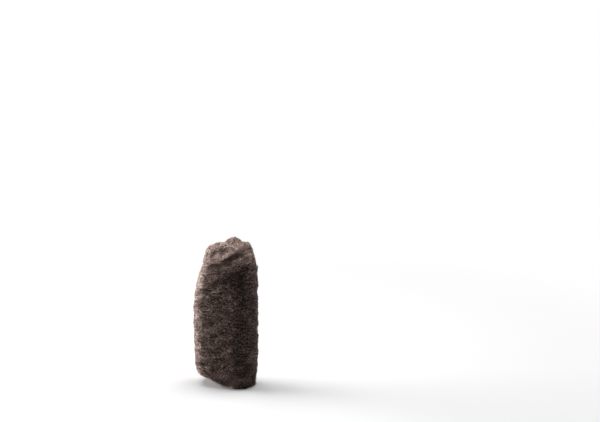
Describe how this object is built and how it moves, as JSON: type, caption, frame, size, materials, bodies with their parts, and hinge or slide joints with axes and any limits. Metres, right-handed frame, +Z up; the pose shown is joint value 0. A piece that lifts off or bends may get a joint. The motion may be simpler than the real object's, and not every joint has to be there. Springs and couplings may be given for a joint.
{
  "type": "steel wool pad",
  "caption": "Pad of fine steel wool: one ribbon wound flat on itself, tapered and creased towards its top, standing on its end.",
  "frame": {"origin": "middle of the pad's plan, on the surface that it stands on", "axes": "+Z up, along the pad's height and across the fibres' run; +X along the pad's width, to the right seen from the front; +Y through its depth, from the creased front to the back"},
  "size_m": [0.0566, 0.036, 0.1251],
  "materials": {
    "steel_wool": "fine curled fibres, dull grey with a brown cast"
  },
  "bodies": {
    "root": {"steel_wool_pad": "steel_wool"}
  },
  "joints": []
}
